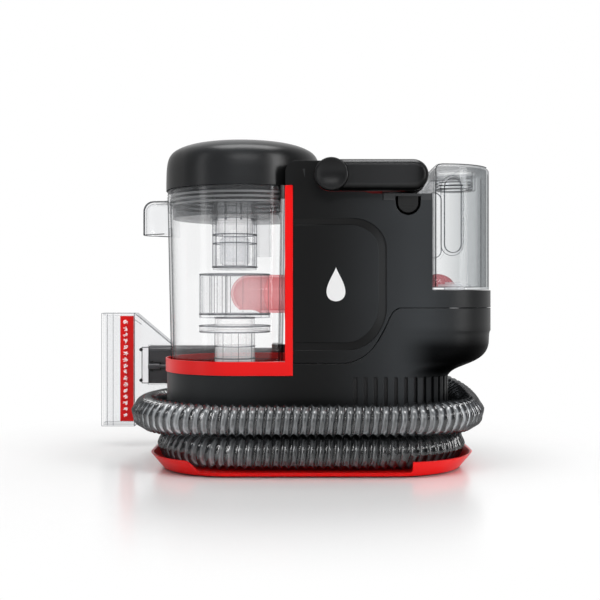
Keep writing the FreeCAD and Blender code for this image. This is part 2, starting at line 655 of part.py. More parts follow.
# A straight run is its end x, y, z. A bend is centre x, y, radius, start and end angle, end z.
HOSE_ROUTE = (
    (-49.5, WRAP1_Y, WRAP1_Z),
    (-49.5, CORNER1_Y, WRAP1_R, 90, 180, WRAP1_Z),
    (-114.5, -CORNER1_Y, WRAP1_Z),
    (-49.5, -CORNER1_Y, WRAP1_R, 180, 270, WRAP1_Z),
    (69.5, -WRAP1_Y, WRAP1_Z),
    (69.5, -CORNER1_Y, WRAP1_R, -90, 0, WRAP1_Z),
    (134.5, CORNER1_Y, WRAP1_Z),
    (71.5, 22, 63, 0, 45, 19.6),
    (71.5, 25, 63, 45, 90, 28.0),
    (28, WRAP2_Y, WRAP2_Z-.5),
    (-66, WRAP2_Y, WRAP2_Z),
    (-66, CORNER2_Y, WRAP2_R, 90, 180, WRAP2_Z),
    (-138, -CORNER2_Y, WRAP2_Z),
    (-66, -CORNER2_Y, WRAP2_R, 180, 270, WRAP2_Z),
    (80, -WRAP2_Y, WRAP2_Z),
    (80, -CORNER2_Y, WRAP2_R, -90, 0, WRAP2_Z+.6),
    (152, CORNER2_Y, WRAP2_Z+4),
    (152, 18, WRAP2_Z+4),
    (80, 18, WRAP2_R, 0, 90, 74),
    (58, TOOL_Y, 80.2))


def hose_path():
    points = [(PORT_X-14, WRAP1_Y, WRAP1_Z)]
    for leg in HOSE_ROUTE:
        x0, y0, z0 = points[-1]
        if len(leg) == 3:
            x1, y1, z1 = leg
            count = max(1, int(math.hypot(x1-x0, y1-y0)/HOSE_STEP))
            for i in range(1, count+1):
                part = i/count
                ease = part*part*(3-2*part)
                points.append((x0+(x1-x0)*part, y0+(y1-y0)*ease, z0+(z1-z0)*ease))
        else:
            cx, cy, radius, angle0, angle1, z1 = leg
            count = max(2, int(abs(math.radians(angle1-angle0))*radius/HOSE_STEP))
            for i in range(1, count+1):
                angle = angle0+(angle1-angle0)*i/count
                points.append(tuple(polar(cx, cy, radius, angle, z0+(z1-z0)*i/count)))
    for _ in range(6):   # smooth the joins between legs
        inner = [tuple((a+2*b+c)/4 for a, b, c in zip(*three))
                 for three in zip(points, points[1:], points[2:])]
        points = [points[0]]+inner+[points[-1]]
    points += [(54, TOOL_Y, 80.5), (51, TOOL_Y, CUFF_Z), (48.2, TOOL_Y, CUFF_Z)]
    path = [points[0]]
    for point in points[1:]:   # drop points crowding the one before
        if sum((a-b)**2 for a, b in zip(point, path[-1])) > 7:
            path.append(point)
    return path


save("suction_hose", pipe(hose_path(), HOSE_R, HOSE_BORE)
     .cut(cyl_x(10, 48.0, TOOL_Y, CUFF_Z, 17.0))
     .cut(cyl_x(PORT_X-14, PORT_X+14, WRAP1_Y, WRAP1_Z, 13.6)))
save("hose_inlet_cuff", union(cyl_x(PORT_X-13.6, PORT_X+10, WRAP1_Y, WRAP1_Z, 13.4),
                              cyl_y(PORT_X, 59, WRAP1_Y, WRAP1_Z, 8.8))
     .cut(cyl_x(PORT_X-20, PORT_X+8, WRAP1_Y, WRAP1_Z, 11))
     .cut(cyl_y(PORT_X, 55, WRAP1_Y, WRAP1_Z, 6.5)))


# ---------------------------------------------------------------- hand tool on its dock
def tool_box(x0, x1, y0, y1, z0, z1):
    """Box with y measured from the tool's centre plane."""
    return box(x0, x1, TOOL_Y+y0, TOOL_Y+y1, z0, z1)


def trigger_bar(half_length, radius):
    return cyl_y(TRIGGER_X, TOOL_Y-half_length, TOOL_Y+half_length, TRIGGER_Z, radius)


def tool_body():
    head = fillet(tool_box(-151.5, -84, -12.5, 12.5, 62, 100), 6.0, long_x)
    head = head.cut(tool_box(-160, -88, -10, 10, 65, 97))
    handle = fillet(tool_box(-88, 13.6, -11.5, 11.5, 68, 97.6), 8.0, long_x)
    handle = handle.cut(cyl_x(-90, 20, TOOL_Y, BORE_Z, 8.5))
    body = union(head, handle).cut(tool_box(-71.5, -20, -5, 5, 60, 76))
    return body.cut(trigger_bar(8.5, 1.5)).cut(cyl_x(-90, -80, TOOL_Y, BORE_Z, 8.5))


def nozzle_form(mouth_x, end_x, mouth, end):
    """Straight mouth, then a taper to end_x. Sections are y0, y1 from TOOL_Y, z0, z1."""
    wires = []
    for x, (y0, y1, z0, z1) in ((-165, mouth), (end_x, end)):
        corners = ((y0, z0), (y1, z0), (y1, z1), (y0, z1), (y0, z0))
        wires.append(Part.makePolygon([Vec(x, TOOL_Y+y, z) for y, z in corners]))
    return union(tool_box(mouth_x, -165, *mouth), Part.makeLoft(wires, True, True))


def tool_nozzle():
    nozzle = nozzle_form(-198, -120, (-14, 10, 20, 133), (-9, 9, 67, 95))
    nozzle = nozzle.cut(nozzle_form(-199, -119.9, (-4, 8, 22.4, 130.6),
                                    (-6.8, 6.8, 69.2, 92.8)))
    nozzle = nozzle.cut(tool_box(-199, -166, -15, -5.9, 18, 135))   # room for the brush bar
    return nozzle.cut(tool_box(-151.9, -110, -13.6, 13.6, 61, 101)
                      .cut(tool_box(-152.8, -109, -9.9, 9.9, 65.1, 96.9)))


def tool_dock():
    """Plate on the housing side with two hooked arms."""
    dock = box(-28, 8, 71.2, 74.6, 87, 102).fuse(box(-2, 8, 70.05, 71.3, 93.4, 102))
    for x in (-28, -2):
        dock = dock.fuse(box(x, x+10, 71.2, 104, 98.4, 102))
        dock = dock.fuse(box(x, x+10, 101.9, 104.4, 93, 102))
    return dock.removeSplitter()


save("hose_tool_cuff", cyl_x(14, 47.6, TOOL_Y, CUFF_Z, 15.2)
     .cut(cyl_x(10, 50, TOOL_Y, CUFF_Z, 12.0)))
save("tool_body", tool_body())
save("tool_nozzle", tool_nozzle())
save("brush_bar", tool_box(-179.5, -166.4, -13, -6.0, 25, 130))
save("brush_tufts", *[cyl_y(-173.6, TOOL_Y-17.4, TOOL_Y-13.05, 31.4+6.15*i, 1.9)
                      for i in range(16)])
save("spray_nozzle", union(cyl_x(-151, -140, TOOL_Y-15.4, 80, 2.8),
                           cyl_x(-140, -128, TOOL_Y-15.4, 80, 1.8))
     .common(tool_box(-160, -100, -20, -12.6, 70, 90)))
save("spray_trigger", union(tool_box(-69, -21, -4.5, 4.5, 64.6, 75.5), trigger_bar(4.5, 4.2))
     .cut(trigger_bar(10, 1.55)))
save("trigger_pin", trigger_bar(8.5, 1.5))
save("tool_dock", tool_dock())
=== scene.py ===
"""Looks, stage, lights and camera for a portable wet cleaner with a ribbed hose and a hand tool.

Shapes are written in machine millimetres: x runs along the machine, from the recovery tank
(-x) to the clean tank (+x), the near side faces the camera at -y, and z is up from the floor.
to_frame() turns them into the frame's metres. Sizes inside the materials are in frame metres.
"""
import math, json, random
import bpy, bmesh
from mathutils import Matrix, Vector


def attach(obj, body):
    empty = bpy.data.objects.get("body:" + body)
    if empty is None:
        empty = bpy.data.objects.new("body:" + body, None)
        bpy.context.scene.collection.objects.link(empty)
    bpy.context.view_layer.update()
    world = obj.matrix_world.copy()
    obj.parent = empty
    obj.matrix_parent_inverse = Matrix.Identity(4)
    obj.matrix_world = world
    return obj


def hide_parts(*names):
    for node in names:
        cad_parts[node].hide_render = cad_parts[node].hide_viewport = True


OFFSET_X, OFFSET_Y = 13.75, -1.60     # machine origin in the frame, mm
SIDES = (("near", -1), ("far", 1))    # name and sign of y
CLEAN_TANK_X = 142                    # axis of the clean tank's neck and cap

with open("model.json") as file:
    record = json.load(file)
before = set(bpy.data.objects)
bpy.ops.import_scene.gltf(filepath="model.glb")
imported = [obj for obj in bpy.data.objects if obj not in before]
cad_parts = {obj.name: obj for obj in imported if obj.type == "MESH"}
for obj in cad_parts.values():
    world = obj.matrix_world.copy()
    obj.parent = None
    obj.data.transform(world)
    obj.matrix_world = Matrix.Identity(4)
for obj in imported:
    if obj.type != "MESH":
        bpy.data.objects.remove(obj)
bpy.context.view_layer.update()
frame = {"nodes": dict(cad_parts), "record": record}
scene = bpy.context.scene


def to_frame(x, y, z):
    return Vector(((x+OFFSET_X)/1000, (y+OFFSET_Y)/1000, z/1000))


# ------------------------------------------------------------------ shader helper
class Shader:
    """A cleared node tree on a material or world, with short ways to add linked nodes."""

    def __init__(self, owner, output="OutputMaterial"):
        owner.use_nodes = True
        self.owner = owner
        self.tree = owner.node_tree
        self.tree.nodes.clear()
        self.output = self.add(output)

    def link(self, source, node, socket):
        """Link a socket, or a node's first output, to an input."""
        if isinstance(source, bpy.types.Node):
            source = source.outputs[0]
        self.tree.links.new(source, node.inputs[socket])

    def add(self, kind, inputs=None, **settings):
        """Add a node. Inputs given as nodes or sockets are linked, others are set."""
        made = self.tree.nodes.new("ShaderNode"+kind)
        for key, value in settings.items():
            setattr(made, key, value)
        for key, value in (inputs or {}).items():
            if isinstance(value, (bpy.types.Node, bpy.types.NodeSocket)):
                self.link(value, made, key)
            else:
                made.inputs[key].default_value = value
        return made

    def calc(self, operation, *operands):
        return self.add("Math", dict(enumerate(operands)), operation=operation)

    def vector(self, operation, *operands):
        return self.add("VectorMath", dict(enumerate(operands)), operation=operation)

    def scale(self, vector, factor):
        return self.add("VectorMath", {0: vector, "Scale": factor}, operation="SCALE")

    def remap(self, value, source=(0, 1), target=(0, 1), **settings):
        inputs = {"Value": value, "From Min": source[0], "From Max": source[1],
                  "To Min": target[0], "To Max": target[1]}
        return self.add("MapRange", inputs, **settings)

    def ramp(self, factor, stops):
        """Colour ramp through stops of (position, colour)."""
        made = self.add("ValToRGB", {"Fac": factor})
        elements = made.color_ramp.elements
        while len(elements) < len(stops):
            elements.new(0.5)
        for i, (position, color) in enumerate(stops):
            elements[i].position = position
            elements[i].color = (*color, 1)
        return made

    def coords(self, scale=(1, 1, 1)):
        return self.add("Mapping", {"Vector": self.add("NewGeometry"), "Scale": scale})

    def noise(self, vector, scale, detail=2):
        return self.add("TexNoise", {"Vector": vector, "Scale": scale, "Detail": detail})

    def bump(self, height, strength, distance):
        return self.add("Bump", {"Strength": strength, "Distance": distance, "Height": height})

    def facing(self):
        """0 where a surface faces the viewer, 1 where it is seen edge on."""
        return self.add("LayerWeight", {"Blend": 0.5}).outputs["Facing"]

    def mix(self, factor, first, second):
        return self.add("MixShader", {0: factor, 1: first, 2: second})

    def mix_color(self, factor, first, second, **settings):
        return self.add("Mix", {"Factor": factor, 6: first, 7: second},
                        data_type="RGBA", **settings)

    def finish(self, surface):
        self.surface = surface
        self.link(surface, self.output, "Surface")


looks = {}                            # look name: its Shader


def new_look(key, name):
    looks[key] = Shader(bpy.data.materials.new(name))
    return looks[key]


def greys(stops, brightest=1):
    """Grey ramp stops, divided by the brightest so that they fit a ramp's 0 to 1."""
    return [(position, (value/brightest,)*3) for position, value in stops]


# ------------------------------------------------------------------ kinds of material
def plastic(key, name, color, rough, grain, bump, spec=0.5, coat=0.0, coat_rough=0.05,
            vary=0.1, metal=0.0, stretch=(1, 1, 1), bevel=0.0, glow=None):
    """Opaque moulding with a fine grain and slow changes of tone."""
    shader = new_look(key, name)
    body = shader.add("BsdfPrincipled")
    place = shader.coords(stretch)
    fine = shader.noise(place, grain, detail=3)
    broad = shader.noise(place, 14.0)
    darker = tuple(c*(1-vary) for c in color)
    lighter = tuple(min(1, c*(1+vary)) for c in color)
    shader.link(shader.ramp(broad, [(0.3, darker), (0.7, lighter)]), body, "Base Color")
    shader.link(shader.remap(fine, target=(rough*0.92, rough*1.08)), body, "Roughness")
    relief = shader.bump(fine, bump, distance=0.0003)
    shader.link(relief, body, "Normal")
    if bevel:
        rounded = shader.add("Bevel", {"Radius": bevel}, samples=4)
        shader.link(rounded, relief, "Normal")
        shader.link(rounded, body, "Coat Normal")
    body.inputs["Metallic"].default_value = metal
    body.inputs["Specular IOR Level"].default_value = spec
    body.inputs["Coat Weight"].default_value = coat
    body.inputs["Coat Roughness"].default_value = coat_rough
    # painted light: emission on a part that is no lamp
    if glow:
        glow_color, strength = glow
        body.inputs["Emission Color"].default_value = (*glow_color, 1)
        body.inputs["Emission Strength"].default_value = strength
    shader.finish(body)
    return shader


NECK_FADE = (.0196, .0206)            # radii over which the tint along x sets in round the neck


def clear(key, name, face, edge, gloss=1.0, rough=0.03, solid=0.0, body=(.8, .8, .8),
          power=1.0, mid=.25, along=None, neck=None, glow=0.0):
    """Thin clear plastic: light goes straight through, tinted more where seen edge on.

    solid is the share of cloudy body. along is (x from, x to, stops) for a further tint
    along x, which leaves out a circle round the (x, y) of neck.
    """
    shader = new_look(key, name)
    facing = shader.facing()
    middle = tuple(a*(1-mid)+b*mid for a, b in zip(face, edge))
    tint = shader.ramp(shader.calc("POWER", facing, power),
                       [(0.0, face), (0.55, middle), (1.0, edge)])
    if along:
        x_from, x_to, stops = along
        place = shader.add("NewGeometry")
        x = shader.add("SeparateXYZ", {0: place}).outputs["X"]
        x_tint = shader.ramp(shader.remap(x, (x_from, x_to)), stops)
        both = shader.mix_color(1.0, tint, x_tint, blend_type="MULTIPLY")
        if neck:
            from_neck = shader.vector("SUBTRACT", place, (*neck, 0))
            level = shader.vector("MULTIPLY", from_neck, (1, 1, 0))
            distance = shader.vector("LENGTH", level).outputs["Value"]
            shader.link(shader.remap(distance, NECK_FADE), both, "Factor")
        tint = both.outputs[2]
    through = shader.add("BsdfTransparent", {"Color": tint})
    diffuse = shader.add("BsdfDiffuse", {"Color": (*body, 1)})
    translucent = shader.add("BsdfTranslucent", {"Color": (*body, 1)})
    cloudy = shader.mix(0.5, diffuse, translucent)
    # painted light: emission on the cloudy body of a part that is no lamp
    if glow:
        light = shader.add("Emission", {"Color": (*body, 1), "Strength": glow})
        cloudy = shader.add("AddShader", {0: cloudy, 1: light})
    noise = shader.noise(shader.coords(), 60.0)
    cloudiness = shader.remap(noise, target=(solid*.85, solid*1.15))
    inside = shader.mix(cloudiness, through, cloudy)
    relief = shader.bump(noise, 0.03, distance=0.0004)
    shine = shader.add("BsdfGlossy", {"Roughness": rough, "Normal": relief})
    fresnel = shader.calc("MULTIPLY_ADD", shader.calc("POWER", facing, 5.0),
                          .55*gloss, .033*gloss)
    # shadow rays only see the tint, so that the inside stays lit
    shadow = shader.add("LightPath").outputs["Is Shadow Ray"]
    lit = shader.calc("SUBTRACT", 1.0, shadow)
    shader.finish(shader.mix(shader.calc("MULTIPLY", fresnel, lit), inside, shine))


def hose_material():
    """Smoky ribbed hose, part see-through: dark on the crests, a painted highlight band towards
    the valleys, painted light and shade along x.
    """
    shader = new_look("hose_smoke", "m_hose")
    rib = shader.add("Attribute", attribute_name="rib").outputs["Fac"]
    noise = shader.noise(shader.coords((1, 1, .35)), 170.0, detail=4)
    uneven = shader.calc("MULTIPLY_ADD", noise, .75, rib)
    # the smoke ramp over the ribs holds the hose's smoky grey and a painted highlight band
    # towards the valleys
    smoke = shader.ramp(shader.calc("MULTIPLY_ADD", uneven, 1.0, -.37), [
        (0.0, (.006, .0065, .007)), (.32, (.014, .015, .016)), (.58, (.060, .064, .068)),
        (.82, (.26, .27, .28)), (1.0, (.12, .126, .13))])
    # painted light and shade along x, from one table for each wrap of the hose
    brightest = 3
    geometry = shader.add("NewGeometry")
    place = shader.add("SeparateXYZ", {0: geometry})
    along = shader.remap(place.outputs["X"], (-.14, .19))
    upper = shader.ramp(along, greys([(0.0, 1.8), (.13, 2.5), (.24, 1.25), (.55, .95),
                                      (.78, 1.2), (.90, 1.9), (1.0, 1.8)], brightest))
    lower = shader.ramp(along, greys([(0.0, 1.2), (.25, 1.3), (.38, .65), (.60, .6),
                                      (.74, .28), (1.0, .22)], brightest))
    is_upper = shader.remap(place.outputs["Z"], (.032, .034))
    painted_light_gain = shader.mix_color(is_upper, lower, upper)
    color = shader.vector("MULTIPLY", smoke, shader.scale(painted_light_gain.outputs[2], float(brightest)))
    # faces turned down glow a little in place of bounced light
    normal = shader.add("SeparateXYZ", {0: geometry.outputs["Normal"]})
    underside = shader.remap(normal.outputs["Z"], (-.15, -.9), (0.0, .55))
    body = shader.add("BsdfPrincipled", {
        "Base Color": color, "Emission Color": color, "Emission Strength": underside,
        "Roughness": .13, "Specular IOR Level": .9,
        "Coat Weight": .5, "Coat Roughness": .04})
    tint = shader.ramp(shader.facing(), [(0.0, (.80, .81, .82)), (1.0, (.10, .105, .11))])
    through = shader.add("BsdfTransparent", {"Color": tint})
    shader.finish(shader.mix(.80, through, body))


def channel_material():
    """Side panel channel: its grey follows the mesh attribute 'tone', from painted shade at 0 to
    painted light at 1.
    """
    shader = new_look("channel", "m_channel")
    tone = shader.add("Attribute", attribute_name="tone").outputs["Fac"]
    relief = shader.bump(shader.noise(shader.coords(), 900.0), .03, distance=.0003)
    color = shader.ramp(tone, [(0.0, (.0022, .0023, .0025)), (1.0, (.017, .018, .019))])
    shader.finish(shader.add("BsdfPrincipled", {
        "Base Color": color, "Normal": relief,
        "Roughness": .45, "Specular IOR Level": .25}))


def shade_along_x(shader, x_range, stops, under=None, shine=False):
    """Paint light and shade into a plastic's colour along x, in place of broad reflections;
    paint shade on faces turned down.

    under holds painted-shadow stops over height that apply towards +x. shine lets the gloss
    fall with the painted brightness too.
    """
    brightest = 6.0
    body = shader.surface
    color = body.inputs["Base Color"].links[0].from_socket
    geometry = shader.add("NewGeometry")
    place = shader.add("SeparateXYZ", {0: geometry})
    x, z = place.outputs["X"], place.outputs["Z"]
    # painted light and shade along x
    along = shader.ramp(shader.remap(x, x_range), greys(stops, brightest))
    along.color_ramp.interpolation = "B_SPLINE"
    # painted shade on faces turned down, in colour and gloss
    normal = shader.add("SeparateXYZ", {0: geometry.outputs["Normal"]})
    upward = shader.remap(normal.outputs["Z"], (-.75, -.05), (.08, 1.0))
    painted_light_gain = shader.calc("MULTIPLY", along, upward)
    gloss = shader.calc("MULTIPLY", upward, body.inputs["Specular IOR Level"].default_value)
    # painted shadow low on the housing's right end
    if under:
        by_height = shader.ramp(shader.remap(z, (.06, .14)), greys(under))
        by_height.color_ramp.interpolation = "EASE"
        reach = shader.remap(x, (.092, .130), interpolation_type="SMOOTHSTEP")
        shadow = shader.add("Mix", {"Factor": reach, 2: 1.0, 3: by_height})
        painted_light_gain = shader.calc("MULTIPLY", painted_light_gain, shadow)
        gloss = shader.calc("MULTIPLY", gloss, shadow)
    painted_light_gain = shader.calc("MULTIPLY", painted_light_gain, brightest)
    shader.link(shader.scale(color, painted_light_gain), body, "Base Color")
    if shine:
        capped = shader.calc("MINIMUM", along, 1.0/brightest)
        gloss = shader.calc("MULTIPLY", capped, gloss)
        gloss = shader.calc("MULTIPLY", gloss, brightest)
    shader.link(gloss, body, "Specular IOR Level")


# ------------------------------------------------------------------ the materials
# Stops are (share of the x range, or of the height range for under; painted brightness).
# painted light and shade along x on the housing, lid and handle; painted shadow low on the
# housing's right end
shade_along_x(
    plastic("housing_black", "m_housing", (.0060, .0066, .0072), rough=.42, grain=1400,
            bump=.04, spec=.22, bevel=.0012), (-.12, .19),
    [(.0, 2.5), (.158, 3.6), (.30, 1.7), (.40, .25), (.51, .45), (.60, 2.2), (.70, 5.0),
     (.77, 5.8), (.83, 3.8), (.88, .9), (.93, .6), (.97, 1.1)],
    under=[(0.0, .35), (.36, .25), (.44, .06), (.56, .12), (.72, .75), (.82, 1.0)])
shade_along_x(
    plastic("lid_gloss", "m_lid", (.0055, .0058, .0062), rough=.32, grain=500, bump=.01,
            spec=.30, coat=.05, coat_rough=.16), (-.11, .03),
    [(0.0, .12), (.14, .20), (.27, 3.4), (.42, 3.0), (.52, 4.2), (.66, 1.6), (.80, .6),
     (1.0, .4)], shine=True)
shade_along_x(
    plastic("handle_black", "m_handle", (.0110, .0113, .0120), rough=.30, grain=1200,
            bump=.03, spec=.36, bevel=.0008), (.02, .125),
    [(0.0, .7), (.20, .7), (.45, 1.1), (.70, 1.8), (.84, 1.7), (.90, .35), (1.0, .15)],
    shine=True)
plastic("grip_rubber", "m_grip", (.0050, .0050, .0054), rough=.55, grain=1800, bump=.12,
        spec=.35)
plastic("trim_red", "m_red", (.86, .003, .003), rough=.34, grain=900, bump=.02, spec=.22,
        coat=.08, coat_rough=.10, vary=.03, bevel=.0006)
clear("duct_red", "m_duct_red", (.985, .865, .87), (.94, .36, .39), gloss=.5, rough=.08,
      solid=.085, body=(.97, .50, .52), power=2.2,
      along=(-.045, .002, [(0.0, (1, 1, 1)), (.40, (1, .97, .972)), (.62, (.99, .87, .875)),
                           (1.0, (.985, .90, .905))]))
clear("clear_plastic", "m_clear", (.992, .993, .994), (.02, .03, .04), gloss=.6,
      solid=.006, power=7.0, mid=.55)
clear("smoke_grey", "m_smoke", (.80, .81, .82), (.45, .46, .47), gloss=.8, rough=.12,
      solid=.34, body=(.34, .345, .35), power=1.5)
plastic("seal_rubber", "m_seal", (.22, .225, .23), rough=.45, grain=1500, bump=.05)
plastic("tool_grey", "m_tool", (.062, .064, .069), rough=.34, grain=1200, bump=.05, spec=.40)
# the float's emission is painted light
clear("float_white", "m_float", (.93, .935, .94), (.50, .52, .54), gloss=.7, rough=.10,
      solid=.22, body=(.93, .93, .94), power=1.8, glow=.45)
# the tufts' emission is painted light, as they sit in weak front light
plastic("tuft_white", "m_tuft", (.82, .74, .74), rough=.5, grain=2600, bump=.2, vary=.06,
        glow=((1, .86, .87), .30))
plastic("button_black", "m_button", (.0065, .0068, .0072), rough=.38, grain=1300, bump=.05,
        spec=.45)
plastic("inner_black", "m_inner", (.03, .03, .032), rough=.5, grain=900, bump=.08)
plastic("steel", "m_steel", (.55, .55, .56), rough=.32, grain=700, bump=.12, metal=1.0,
        stretch=(1, 1, 30))
plastic("board_green", "m_board", (.02, .12, .05), rough=.45, grain=2400, bump=.2)
hose_material()
# painted shade and painted light copies of the channel's grey
plastic("channel_dark", "m_channel_painted_shade", (.0022, .0023, .0025), rough=.5, grain=1400,
        bump=.03, spec=.2)
plastic("channel_light", "m_channel_painted_light", (.016, .017, .018), rough=.38, grain=1400,
        bump=.03, spec=.4)
plastic("lip_grey", "m_lip", (.044, .046, .048), rough=.42, grain=1400, bump=.03, spec=.3)
plastic("mark_white", "m_mark", (.80, .80, .80), rough=.5, grain=900, bump=.02, vary=.02)
clear("clear_sharp", "m_clear_sharp", (.95, .955, .96), (.20, .22, .25), solid=.05,
      power=1.6)
clear("clear_spout", "m_clear_spout", (.985, .987, .99), (.03, .035, .045), gloss=.7,
      rough=.04, solid=.012, power=4.5, mid=.35)
clear("clear_tool", "m_clear_tool", (.965, .967, .97), (.22, .24, .26), gloss=.6,
      rough=.05, solid=.015, power=3.0)
# the inner clear parts' emission is painted light
clear("clear_inner", "m_clear_inner", (.988, .989, .991), (.20, .22, .25), gloss=.7,
      rough=.04, solid=.05, body=(.96, .96, .96), power=3.8, glow=.45)
# the clean tank's tint along x is painted shade, darkest near its rounded end at high x, left
# out round the neck
clear("clear_ct", "m_clear_ct", (.988, .990, .991), (.03, .035, .045), gloss=.35,
      solid=.010, power=5.0, mid=.35,
      along=(.12, .19, [(0.0, (.99,)*3), (.42, (.975, .977, .978)), (.58, (.90, .905, .907)),
                        (.75, (.80, .81, .815)), (.93, (.84, .85, .855)), (1.0, (.93,)*3)]),
      neck=to_frame(CLEAN_TANK_X, 0, 0)[:2])
clear("clear_cap", "m_clear_cap", (.998, .998, .998), (.40, .42, .45), gloss=.3, rough=.04,
      solid=.004, power=5.0)
# the emission on the frosted clear parts and the tool's collar is painted light
clear("clear_frost", "m_clear_frost", (.985, .985, .985), (.42, .43, .45), gloss=.7,
      rough=.06, solid=.17, body=(.97, .97, .97), power=2.6, glow=.60)
clear("collar_frost", "m_collar_frost", (.96, .96, .965), (.6, .61, .62), gloss=.6,
      rough=.08, solid=.62, body=(.86, .86, .87), power=2.0, glow=.35)
clear("dome_red", "m_dome_red", (.96, .66, .68), (.70, .30, .33), gloss=.5, rough=.08,
      solid=.40, body=(.62, .22, .25), power=1.5)
# black for the painted shadow in the buttons' gaps
plastic("dark_gap", "m_gap_painted_shadow", (.0006, .0006, .0006), rough=.8, grain=900, bump=.02, spec=0.0)
# the handle liners' red, darkened as painted shade under the handle
plastic("liner_red", "m_liner_painted_shade", (.13, .004, .005), rough=.45, grain=900, bump=.03, spec=.2)
clear("line_mid", "m_line_mid", (.58, .59, .61), (.12, .13, .15), gloss=.5, rough=.05,
      solid=.05, body=(.5, .5, .5), power=1.2)
clear("line_dark", "m_line_dark", (.30, .31, .33), (.06, .065, .075), gloss=.5, rough=.05,
      solid=.06, body=(.3, .3, .3), power=1.2)
channel_material()

# CAD pieces take the look of their material slot, apart from these
LOOK_OF = {
    "separator_cup": "clear_inner", "float_cage": "clear_inner",
    "air_drop_tube": "clear_inner", "clean_tank_lip": "clear_inner",
    "pour_spout": "clear_spout", "separator_post": "clear_frost",
    "tool_nozzle": "clear_tool", "clean_tank": "clear_ct",
    "tank_filter_dome": "dome_red", "fill_cap": "clear_cap", "handle_liners": "liner_red"}
slot_of = {s["node"]: s["material_slot"] for s in frame["record"]["subparts"]}
for name, piece in frame["nodes"].items():
    piece.data.materials.clear()
    piece.data.materials.append(looks[LOOK_OF.get(name) or slot_of[name]].owner)


# ------------------------------------------------------------------ mesh helpers, in machine mm
# A part is (vertices, faces).
def build(name, parts, look, body, smooth=True, sharp=None):
    """Make one object of several parts that rides on a body of the frame."""
    verts, faces = [], []
    for part_verts, part_faces in parts:
        first = len(verts)
        verts += part_verts
        faces += [tuple(i+first for i in face) for face in part_faces]
    data = bpy.data.meshes.new(name)
    data.from_pydata([to_frame(*v) for v in verts], [], faces)
    data.validate()
    data.update()
    bm = bmesh.new()
    bm.from_mesh(data)
    bmesh.ops.recalc_face_normals(bm, faces=bm.faces)
    bm.to_mesh(data)
    bm.free()
    made = bpy.data.objects.new(name, data)
    scene.collection.objects.link(made)
    data.materials.append(looks[look].owner)
    if smooth:
        data.polygons.foreach_set("use_smooth", [True]*len(data.polygons))
        if sharp is not None:
            data.set_sharp_from_angle(angle=math.radians(sharp))
    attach(made, body)
    return made


def add_attribute(made, name, values):
    attribute = made.data.attributes.new(name, "FLOAT", "POINT")
    attribute.data.foreach_set("value", values)


def polar(center_x, center_y, radius, degrees):
    angle = math.radians(degrees)
    return center_x+radius*math.cos(angle), center_y+radius*math.sin(angle)


def arc(center_x, center_y, radius, angles):
    return [polar(center_x, center_y, radius, degrees) for degrees in angles]


def sweep(path, radius, segs):
    """Closed tube along Vectors; radius is a number, or a function of ring and angle."""
    verts, faces, across = [], [], None
    up = Vector((0, 0, 1))
    last = len(path)-1
    for i, point in enumerate(path):
        along = (path[min(i+1, last)]-path[max(i-1, 0)]).normalized()
        if across is None:
            start = up if abs(along.dot(up)) < .95 else Vector((0, 1, 0))
            across = start.cross(along)
        other = along.cross(across).normalized()
        across = other.cross(along).normalized()
        for k in range(segs):
            angle = 2*math.pi*k/segs
            r = radius(i, angle) if callable(radius) else radius
            verts.append(tuple(point+across*(r*math.cos(angle))+other*(r*math.sin(angle))))
    for i in range(last):
        for k in range(segs):
            j = (k+1) % segs
            faces.append((i*segs+k, i*segs+j, (i+1)*segs+j, (i+1)*segs+k))
    faces.append(tuple(range(segs-1, -1, -1)))
    faces.append(tuple(range(last*segs, (last+1)*segs)))
    return verts, faces


def tube(points, radius):
    return sweep([Vector(p) for p in points], radius, 8)


def bead(start, end, radius):
    """Straight thin tube with one ring in the middle."""
    return tube([start, tuple((a+b)/2 for a, b in zip(start, end)), end], radius)


def lathe(x, y, profile, segs=64):
    """Closed profile of (radius, z) turned round the vertical axis at x, y."""
    verts, faces = [], []
    count = len(profile)
    for k in range(segs):
        angle = 2*math.pi*k/segs
        verts += [(x+r*math.cos(angle), y+r*math.sin(angle), z) for r, z in profile]
    for k in range(segs):
        j = (k+1) % segs
        for i in range(count):
            n = (i+1) % count
            faces.append((k*count+i, j*count+i, j*count+n, k*count+n))
    return verts, faces


def lathe_along_y(x, y, z, profile):
    """Profile of (radius, y) turned round an axis along y, placed at x, y, z."""
    verts, faces = lathe(0, 0, profile, 20)
    return [(x+across, y+depth, z+up) for across, up, depth in verts], faces


def torus(x, z, radius, thickness):
    """Level ring round the point x on the machine's centre plane."""
    profile = [(radius+thickness*math.cos(2*math.pi*i/8), z+thickness*math.sin(2*math.pi*i/8))
               for i in range(8)]
    return lathe(x, 0, profile)


def block(x0, x1, y0, y1, z0, z1):
    verts = [(x, y, z) for x in (x0, x1) for y in (y0, y1) for z in (z0, z1)]
    return verts, [(0, 1, 3, 2), (4, 6, 7, 5), (0, 4, 5, 1),
                   (2, 3, 7, 6), (0, 2, 6, 4), (1, 5, 7, 3)]


def plate(outline, y0, y1):
    """Flat outline of (x, z) points given thickness across y."""
    n = len(outline)
    verts = [(x, y, z) for y in (y0, y1) for x, z in outline]
    faces = [tuple(range(n)), tuple(range(2*n-1, n-1, -1))]
    faces += [(i, i+n, (i+1) % n+n, (i+1) % n) for i in range(n)]
    return verts, faces


def strip(outer, inner, side):
    """Band 0.3 thick between two matching lines of (x, z, distance from centre plane)."""
    n = len(outer)
    verts = [(x, side*(depth-inset), z) for inset in (0, .3) for x, z, depth in outer+inner]
    faces = []
    for i in range(n-1):
        faces += [(i, i+1, i+1+n, i+n), (i+2*n, i+3*n, i+1+3*n, i+1+2*n),
                  (i, i+2*n, i+1+2*n, i+1), (i+n, i+1+n, i+1+3*n, i+3*n)]
    return verts, faces+[(0, n, 3*n, 2*n), (n-1, 3*n-1, 4*n-1, 2*n-1)]


